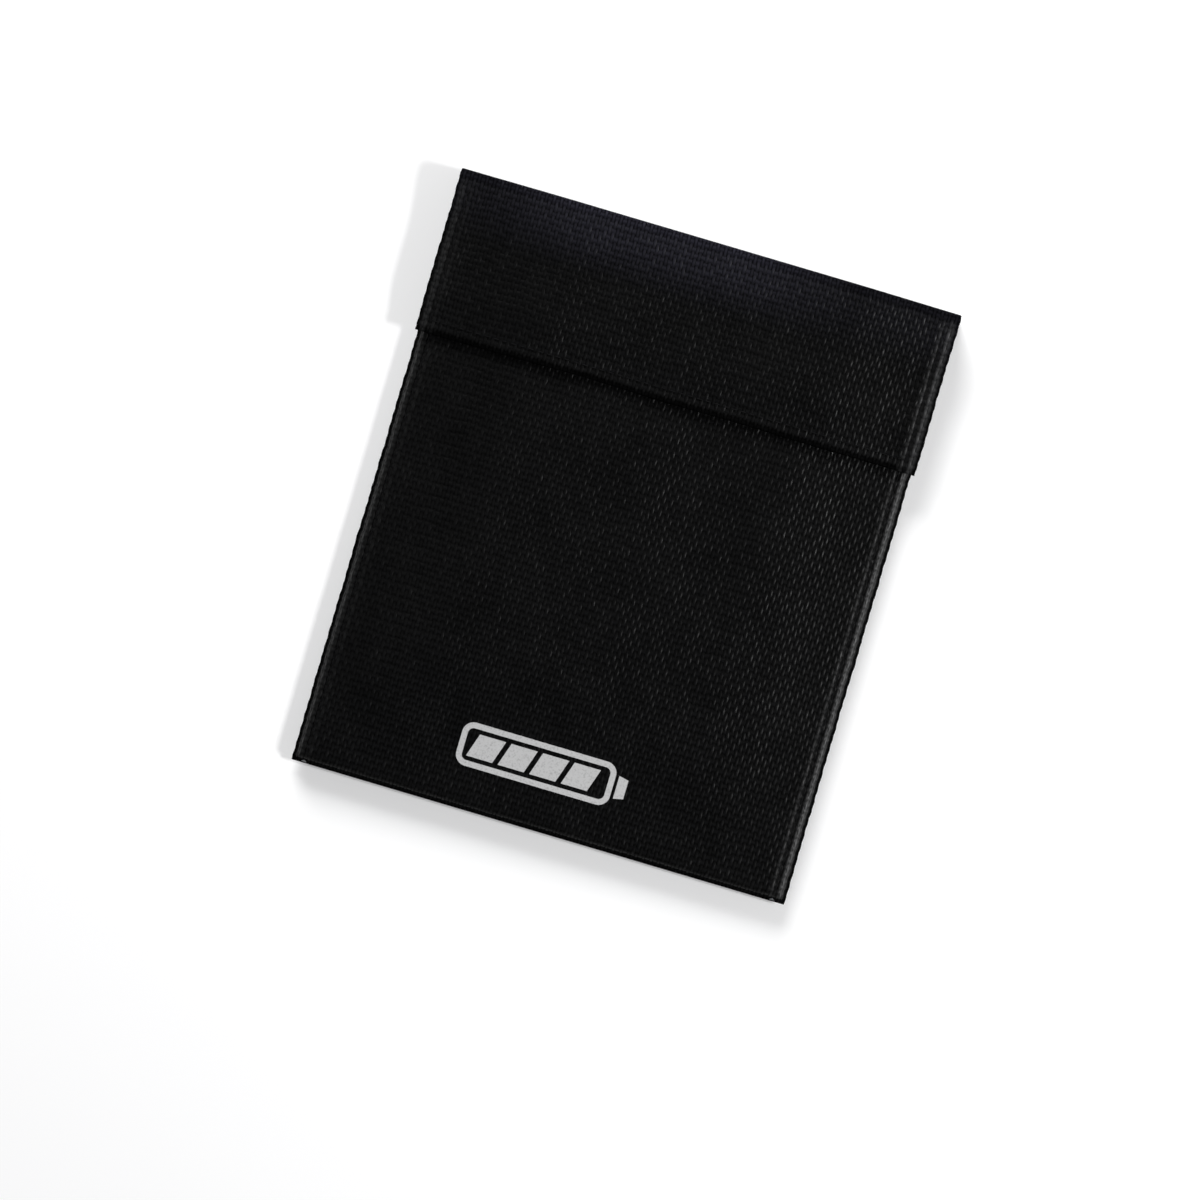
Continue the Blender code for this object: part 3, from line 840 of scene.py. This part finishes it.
def seamBinding(name, side, node):
    width, radius = binding["width"], binding["thick"] / 2
    angles = np.linspace(math.pi / 2, 3 * math.pi / 2, 7)
    profile = [(width, radius), (width * 0.5, radius * 1.05)]
    profile += [(radius + radius * math.cos(a), radius * math.sin(a)) for a in angles]
    profile += [(width * 0.5, -radius * 1.05), (width, -radius), (width, radius)]
    profile = np.array(profile)
    along = np.arange(binding["from"], binding["to"] + 0.01 * mm, binding["step"])
    rows, cols = len(along), len(profile)
    wander = 0.25 * mm * ripple(along, 0 * along, 61, 22 * mm)[:, None]
    x = side * (binding["fold"] + profile[None, :, 0] + wander)
    z = binding["level"] + profile[None, :, 1] + 0.12 * mm * ripple(along, 0 * along, 62, 15 * mm)[:, None]
    points = np.stack([x, np.broadcast_to(along[:, None], (rows, cols)), z], -1)
    piece = gridPiece(name, points, threadMap(walked(profile), along), flipped=side < 0)
    closeEnds(piece)
    finish(piece, bindingCloth, [node])
    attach(piece, "pouch")


def closeEnds(piece):
    shape = bmesh.new()
    shape.from_mesh(piece.data)
    bmesh.ops.remove_doubles(shape, verts=shape.verts, dist=0.00001)
    bmesh.ops.holes_fill(shape, edges=shape.edges, sides=60)
    bmesh.ops.recalc_face_normals(shape, faces=shape.faces)
    shape.to_mesh(piece.data)
    shape.free()


seamBinding("leftBinding", -1, "left_seam_binding")
seamBinding("rightBinding", 1, "right_seam_binding")
print("bindings made")


# ---- hook and loop tapes

tape = {
    "half": tapeHigh.x,
    "low": tapeLow.y,
    "high": tapeHigh.y,
    "ground": 0.35 * mm,
    "selvage": 2.6 * mm,
    "endMargin": 2.2 * mm,  # bare ground at each end
    "bulge": 0.12 * mm,  # how far the selvages round out
    "rib": (0.04 * mm, 1.1 * mm),  # height and pitch of the ground's ribs
    "frontLift": 0.12 * mm,  # from the front's face up to the loop tape's underside
    "flapDepth": 0.8 * mm,  # from the flap's face down to the hook tape's back
    "hookPitch": (1.7 * mm, 1.62 * mm),
    "rooted": (0.05 * mm, 0.03 * mm),  # how deep hooks and loops start in their ground
    "cells": (120, 16),
    "napCells": (61, 9),
}
hookSizes = {"Height": 0.75 * mm, "Thickness": 0.17 * mm, "Seed": 3}
loopSizes = {"Height": 0.6 * mm, "Thickness": 0.1 * mm, "Density": 1.0e6, "Seed": 5}


def tapeGround(name, height, way):
    # a woven ribbon with rounded selvages; height gives its underside, or its back on the flap
    across = np.linspace(-tape["half"], tape["half"], tape["cells"][0] + 1)
    thick, half = tape["ground"], (tape["high"] - tape["low"]) / 2
    width = np.linspace(-half, half, tape["cells"][1] + 1)
    outline = [(v, 0.0) for v in width] + [(half + tape["bulge"], thick / 2)]
    outline += [(v, thick) for v in width[::-1]] + [(-half - tape["bulge"], thick / 2), (-half, 0.0)]
    outline = np.array(outline)
    x, v = np.meshgrid(across, outline[:, 0])
    y = (tape["low"] + tape["high"]) / 2 + v
    ribHeight, ribPitch = tape["rib"]
    rib = ribHeight * np.cos(2 * math.pi * x / ribPitch) * (outline[:, 1] > thick * 0.9)[:, None]
    z = height(x, y) + way * (outline[:, 1][:, None] + rib)
    piece = gridPiece(name, np.stack([x, y, z], -1), threadMap(across, walked(outline)))
    closeEnds(piece)
    finish(piece, tapeCloth)
    return piece


def newTree(name, sizes):
    tree = bpy.data.node_groups.new(name, "GeometryNodeTree")
    tree.interface.new_socket("Geometry", in_out="INPUT", socket_type="NodeSocketGeometry")
    for label, value in sizes.items():
        kind = "NodeSocketInt" if isinstance(value, int) else "NodeSocketFloat"
        tree.interface.new_socket(label, in_out="INPUT", socket_type=kind).default_value = value
    tree.interface.new_socket("Geometry", in_out="OUTPUT", socket_type="NodeSocketGeometry")
    return tree, tree.nodes.new("NodeGroupInput").outputs


def vectorOf(tree, *values):
    return addNode(tree, "ShaderNodeCombineXYZ", dict(zip("XYZ", values))).outputs["Vector"]


def sideways(tree, wide, high):
    # places the points of a strand in its own plane, as shares of its width and height
    def at(x, z):
        return vectorOf(tree, calc(tree, "MULTIPLY", wide, x), 0.0, calc(tree, "MULTIPLY", high, z))

    return at


def strand(tree, curve, thickness, sides):
    # a round strand along a short curve, closed at both ends
    radius = calc(tree, "MULTIPLY", thickness, 0.5)
    ring = addNode(tree, "GeometryNodeCurvePrimitiveCircle", {"Resolution": sides, "Radius": radius})
    inputs = {"Curve": curve.outputs["Curve"], "Profile Curve": ring.outputs["Curve"], "Fill Caps": True}
    return addNode(tree, "GeometryNodeCurveToMesh", inputs).outputs["Mesh"]


def placeOn(tree, points, shape, material, turns):
    # copies the shape to every point, makes it real and gives it its material
    copies = addNode(tree, "GeometryNodeInstanceOnPoints", {"Points": points, "Instance": shape, **turns})
    real = addNode(tree, "GeometryNodeRealizeInstances", {"Geometry": copies.outputs["Instances"]})
    smooth = addNode(tree, "GeometryNodeSetShadeSmooth", {"Geometry": real.outputs["Geometry"]})
    inputs = {"Geometry": smooth.outputs["Geometry"], "Material": material}
    painted = addNode(tree, "GeometryNodeSetMaterial", inputs)
    addNode(tree, "NodeGroupOutput", {"Geometry": painted.outputs["Geometry"]})


def randomOf(tree, kind, low, high, seed):
    node = addNode(tree, "FunctionNodeRandomValue", data_type=kind)
    limits = [s for s in node.inputs if s.enabled and s.name in ("Min", "Max")]
    limits[0].default_value, limits[1].default_value = low, high
    tree.links.new(seed, node.inputs["Seed"])
    return next(s for s in node.outputs if s.enabled)


def hookTree():
    # nylon hooks hanging from the flap, every other one facing the other way
    tree, given = newTree("rowsOfHooks", hookSizes)
    at = sideways(tree, given["Height"], given["Height"])
    bend = {
        "Resolution": 7, "Start": (0, 0, 0), "Start Handle": at(0, 1.15),
        "End Handle": at(0.5, 1.3), "End": at(0.48, 0.62),
    }
    curve = addNode(tree, "GeometryNodeCurvePrimitiveBezierSegment", bend, mode="POSITION")
    shape = strand(tree, curve, given["Thickness"], 5)
    sites = addNode(tree, "GeometryNodeMeshToPoints", {"Mesh": given["Geometry"]})
    index = addNode(tree, "GeometryNodeInputIndex").outputs["Index"]
    facing = calc(tree, "MULTIPLY", calc(tree, "MODULO", index, 2.0), math.pi)
    loose = calc(tree, "ADD", facing, randomOf(tree, "FLOAT", -0.3, 0.3, given["Seed"]))
    turned = vectorOf(tree, math.pi, 0.0, loose)
    placeOn(tree, sites.outputs["Points"], shape, hookFibre, {"Rotation": turned})
    return tree


def loopTree():
    # a nap of fine nylon loops, leaning every way
    tree, given = newTree("napOfLoops", loopSizes)
    at = sideways(tree, given["Height"], given["Height"])
    arch = {
        "Resolution": 6, "Start": at(-0.35, 0), "Start Handle": at(-0.75, 1.3), "End Handle": at(0.75, 1.3),
        "End": at(0.35, 0),
    }
    curve = addNode(tree, "GeometryNodeCurvePrimitiveBezierSegment", arch, mode="POSITION")
    shape = strand(tree, curve, given["Thickness"], 4)
    inputs = {"Mesh": given["Geometry"], "Density": given["Density"], "Seed": given["Seed"]}
    sites = addNode(tree, "GeometryNodeDistributePointsOnFaces", inputs)
    turned = randomOf(tree, "FLOAT_VECTOR", (-0.75, -0.75, 0), (0.75, 0.75, 6.28), given["Seed"])
    sizes = randomOf(tree, "FLOAT_VECTOR", (0.7, 0.7, 0.7), (1.35, 1.35, 1.25), given["Seed"])
    placeOn(tree, sites.outputs["Points"], shape, loopFibre, {"Rotation": turned, "Scale": sizes})
    return tree


def stitchTree():
    # a row of lockstitches: short arched lengths of thread along each path
    tree, given = newTree("rowsOfStitches", sewing)
    at = sideways(tree, given["Length"], given["Arch"])
    arch = {"Resolution": 6, "Start": at(-0.5, -1), "Middle": at(0, 2.2), "End": at(0.5, -1)}
    shape = strand(tree, addNode(tree, "GeometryNodeCurveQuadraticBezier", arch), given["Thickness"], 6)
    path = addNode(tree, "GeometryNodeMeshToCurve", {"Mesh": given["Geometry"]}).outputs["Curve"]
    pitch = calc(tree, "ADD", given["Length"], given["Gap"])
    sites = addNode(tree, "GeometryNodeCurveToPoints", {"Curve": path, "Length": pitch}, mode="LENGTH")
    inputs = {"Vector": sites.outputs["Tangent"]}
    turned = addNode(tree, "FunctionNodeAlignRotationToVector", inputs, axis="X", pivot_axis="Z")
    placeOn(tree, sites.outputs["Points"], shape, threadFibre, {"Rotation": turned.outputs["Rotation"]})
    return tree


def grown(name, points, faces, edges, tree, sizes):
    # runs a tree on a mesh of points, paths or faces, and keeps the result as a plain mesh
    mesh = bpy.data.meshes.new(name + "Base")
    mesh.from_pydata([tuple(p) for p in points], edges, faces)
    holder = linked(name + "Base", mesh)
    modifier = holder.modifiers.new("grown", "NODES")
    modifier.node_group = tree
    for item in tree.interface.items_tree:
        if item.in_out == "INPUT" and item.name in sizes:
            modifier[item.identifier] = sizes[item.name]
    bpy.context.view_layer.update()
    made = bpy.data.meshes.new_from_object(holder.evaluated_get(bpy.context.evaluated_depsgraph_get()))
    made.name = name
    bpy.data.objects.remove(holder)
    return linked(name, made)


def loopBack(x, y):
    return frontHeight(x, y) + tape["frontLift"]


def hookBack(x, y):
    return flapHeight(x, y) - tape["flapDepth"]


fieldX = (-tape["half"] + tape["endMargin"], tape["half"] - tape["endMargin"])
fieldY = (tape["low"] + tape["selvage"], tape["high"] - tape["selvage"])

bendAtMouth(tapeGround("loopTape", loopBack, 1), ["loop_tape"])
hookGround = tapeGround("hookTape", hookBack, -1)
finish(hookGround, tapeCloth, ["hook_tape"])
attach(hookGround, "flap")

hookX = np.arange(*fieldX, tape["hookPitch"][0])
hookY = np.arange(*fieldY, tape["hookPitch"][1])
siteX, siteY = (a.ravel() for a in np.meshgrid(hookX, hookY))
sites = np.stack([siteX, siteY, hookBack(siteX, siteY) - tape["ground"] + tape["rooted"][0]], -1)
hooks = grown("hooks", sites, [], [], hookTree(), hookSizes)
finish(hooks, hookFibre)
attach(hooks, "flap")

napCols, napRows = tape["napCells"]
napX, napY = np.meshgrid(np.linspace(*fieldX, napCols), np.linspace(*fieldY, napRows))
napZ = loopBack(napX, napY) + tape["ground"] - tape["rooted"][1]
napPoints = np.stack([napX, napY, napZ], -1).reshape(-1, 3)
loops = grown("loops", napPoints, gridFaces(napRows, napCols).tolist(), [], loopTree(), loopSizes)
finish(loops, loopFibre)
bendAtMouth(loops)
print("tapes made")


# ---- stitching

sewing = {"Length": 2.5 * mm, "Gap": 0.75 * mm, "Thickness": 0.42 * mm, "Arch": 0.16 * mm}
stitchNodes = stitchTree()


def stitches(name, rows, way):
    points, edges = [], []
    for row in rows:
        edges += [(len(points) + i, len(points) + i + 1) for i in range(len(row) - 1)]
        points += list(row)
    piece = grown(name, points, [], edges, stitchNodes, {**sewing, "Arch": way * sewing["Arch"]})
    finish(piece, threadFibre)
    return piece


def above(height, lift):
    # the face that a row lies on, a little sunk into its cloth or clear of it
    return lambda x, y: height(x, y) + lift


rowEnds = {
    "fromBottom": 5 * mm,
    "fromMouth": 2 * mm,
    "mouthInset": 6 * mm,
    "mouthEnds": 4 * mm,
    "tapeEnds": 2 * mm,
    "tapeInset": 1.4 * mm,
    "flapTop": 102 * mm,
}
seamX = pouch["half"] - pouch["seamInset"]
seamY = np.linspace(pouch["bottom"] + rowEnds["fromBottom"], pouch["mouth"] - rowEnds["fromMouth"], 90)
hemX = seamX - rowEnds["mouthEnds"]
tapeX = np.linspace(-tape["half"] + rowEnds["tapeEnds"], tape["half"] - rowEnds["tapeEnds"], 80)
flapX, flapY = pouch["flapHalf"] - flap["stitchIn"], pouch["flapEdge"] + flap["stitchIn"]
downY = np.linspace(rowEnds["flapTop"], flapY, 40)
acrossX = np.linspace(-flapX, flapX, 90)[1:-1]

sideRows = [(side * seamX, seamY) for side in (-1, 1)]
hemRow = [(np.linspace(-hemX, hemX, 90), pouch["mouth"] - rowEnds["mouthInset"])]
tapeRows = [(tapeX, tape["low"] + rowEnds["tapeInset"]), (tapeX, tape["high"] - rowEnds["tapeInset"])]
flapRow = [(
    np.concatenate([np.full(downY.size, -flapX), acrossX, np.full(downY.size, flapX)]),
    np.concatenate([downY, np.full(acrossX.size, flapY), downY[::-1]]),
)]
tapeFace, flapUnder = tape["ground"] + 0.08 * mm, -2 * flap["edgeRound"] - 0.05 * mm
for name, rows, face, way, thread, body in (
    ("sideSeamNeedleStitches", sideRows, above(frontHeight, -0.12 * mm), 1, "seam_needle", "front"),
    ("sideSeamBobbinStitches", sideRows, above(backHeight, -0.05 * mm), -1, "seam_bobbin", "pouch"),
    ("mouthHemNeedleStitches", hemRow, above(frontHeight, -0.05 * mm), 1, "mouth_hem_needle", "front"),
    ("mouthHemBobbinStitches", hemRow, above(frontHeight, -1.45 * mm), -1, "mouth_hem_bobbin", "front"),
    ("loopTapeStitches", tapeRows, above(loopBack, tapeFace), 1, "loop_tape", "front"),
    ("hookTapeStitches", tapeRows, above(hookBack, -tapeFace), -1, "hook_tape", "flap"),
    ("flapHemNeedleStitches", flapRow, above(flapHeight, -0.06 * mm), 1, "flap_hem_needle", "crease"),
    ("flapHemBobbinStitches", flapRow, above(flapHeight, flapUnder), -1, "flap_hem_bobbin", "crease"),
):
    paths = []
    for x, y in rows:
        x, y = np.broadcast_arrays(x, y)
        paths.append(np.stack([x, y, face(x, y)], -1))
    piece = stitches(name, paths, way)
    if thread.startswith("seam"):
        nodes = [f"left_{thread}_thread", f"right_{thread}_thread"]
    elif thread.endswith("tape"):
        nodes = [f"{thread}_lower_thread", f"{thread}_upper_thread"]
    else:
        nodes = [f"{thread}_thread"]
    if body == "front":
        bendAtMouth(piece, nodes)
    else:
        finish(piece, threadFibre, nodes)
        if body == "crease":
            flapBlend(piece)
        else:
            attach(piece, body)
print("stitching made")


# ---- printed battery sign, a thin film of ink over the weave

battery = {
    "centre": (-5.0 * mm, -86.5 * mm),
    "size": (62 * mm, 16 * mm),
    "line": 2.1 * mm,
    "corner": 4.2 * mm,
    "nub": (3.6 * mm, 8.5 * mm),
    "nubGap": 1.2 * mm,
    "nubTrim": 0.8 * mm,
    "bars": 4,
    "barMargin": 1.6 * mm,
    "barGap": 2.0 * mm,
    "lean": 0.32,
    "cell": 0.4 * mm,  # size of the film's faces, small enough to lie on the crowned cloth
    "film": 0.03 * mm,
    "castFrom": 50 * mm,  # height from which it is dropped on to the front's cloth
    "ink": (0.33, 0.54),
}


def roundedBox(width, height, corner, count):
    # points evenly spaced round a box with rounded corners, and the way out at each
    path = []
    for turn, (cx, cy) in enumerate(((1, 1), (-1, 1), (-1, -1), (1, -1))):
        for a in np.linspace(0, math.pi / 2, 24):
            angle = a + turn * math.pi / 2
            out = Vector((math.cos(angle), math.sin(angle)))
            path.append((Vector((cx * (width / 2 - corner), cy * (height / 2 - corner))) + out * corner, out))
    path.append(path[0])
    lengths = np.concatenate([[0], np.cumsum([(b[0] - a[0]).length for a, b in zip(path, path[1:])])])
    places = []
    for at in np.linspace(0, lengths[-1], count, endpoint=False):
        i = min(np.searchsorted(lengths, at, side="right") - 1, len(path) - 2)
        share = (at - lengths[i]) / max(lengths[i + 1] - lengths[i], 1e-12)
        (before, outBefore), (after, outAfter) = path[i], path[i + 1]
        places.append((before.lerp(after, share), outBefore.lerp(outAfter, share).normalized()))
    return places


def inkMaterial():
    material, tree, shader = newMaterial("greyPrintInk", {"Specular IOR Level": 0.3})
    place = addNode(tree, "ShaderNodeTexCoord").outputs["Object"]
    fleck = noise(tree, place, 1400.0, 4.0, 0.7)
    thin, full = battery["ink"]
    feed(tree, shader, {
        "Base Color": ramp(tree, fleck, (grey(thin), grey(full)), 0.28, 0.5),
        "Roughness": between(tree, noise(tree, place, 90.0), (0.42, 0.62)),
        "Normal": embossed(tree, fleck, 0.4, 0.03 * mm),
    })
    return material


def inkPatch(shape, corners):
    # a four-sided patch of ink, cut into small cells
    a, b, c, d = (Vector((*p, 0)) for p in corners)
    across = max(2, round((b - a).length / battery["cell"]))
    up = max(2, round((d - a).length / battery["cell"]))
    rows = []
    for j in range(up + 1):
        left, right = a.lerp(d, j / up), b.lerp(c, j / up)
        rows.append([shape.verts.new(left.lerp(right, i / across)) for i in range(across + 1)])
    for low, high in zip(rows, rows[1:]):
        for i in range(across):
            shape.faces.new((low[i], low[i + 1], high[i + 1], high[i]))


def printedSign():
    shape = bmesh.new()
    width, height = battery["size"]
    nubWide, nubHigh = battery["nub"]
    bodyWide = width - nubWide - battery["nubGap"]
    bodyX = -width / 2 + bodyWide / 2
    around = round(2 * (bodyWide + height) / battery["cell"])
    outline = roundedBox(bodyWide, height, battery["corner"], around)
    rings = []
    cells = max(2, round(battery["line"] / battery["cell"]))
    for step in range(cells + 1):
        depth = battery["line"] * step / cells
        ring = [(bodyX + p.x - out.x * depth, p.y - out.y * depth, 0) for p, out in outline]
        rings.append([shape.verts.new(spot) for spot in ring])
    for outer, inner in zip(rings, rings[1:]):
        for i in range(around):
            j = (i + 1) % around
            shape.faces.new((outer[i], outer[j], inner[j], inner[i]))

    nubX, trim = width / 2 - nubWide, battery["nubTrim"]
    nubEnd, halfNub = nubX + nubWide, nubHigh / 2
    inkPatch(shape, [(nubX, -halfNub), (nubEnd, -halfNub + trim), (nubEnd, halfNub - trim), (nubX, halfNub)])
    line, margin = battery["line"], battery["barMargin"]
    inside = bodyWide - 2 * line - 2 * margin
    tall = height - 2 * line - 2 * margin
    leaning = tall * battery["lean"]
    pitch = (inside - leaning) / battery["bars"]
    for i in range(battery["bars"]):
        left = bodyX - inside / 2 + i * pitch
        right = left + pitch - battery["barGap"]
        low, high = -tall / 2, tall / 2
        inkPatch(shape, [(left, low), (right, low), (right + leaning, high), (left + leaning, high)])

    centreX, centreY = battery["centre"]
    for vertex in shape.verts:
        over = Vector((vertex.co.x + centreX, vertex.co.y + centreY, battery["castFrom"]))
        hit, normal, _, _ = frontFace.ray_cast(over, Vector((0, 0, -1)))
        vertex.co = hit + normal * battery["film"]
    mesh = bpy.data.meshes.new("printedSign")
    shape.to_mesh(mesh)
    shape.free()
    mesh.shade_smooth()
    piece = linked("printedSign", mesh)
    finish(piece, inkMaterial())
    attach(piece, "front")


printedSign()
print("sign printed")
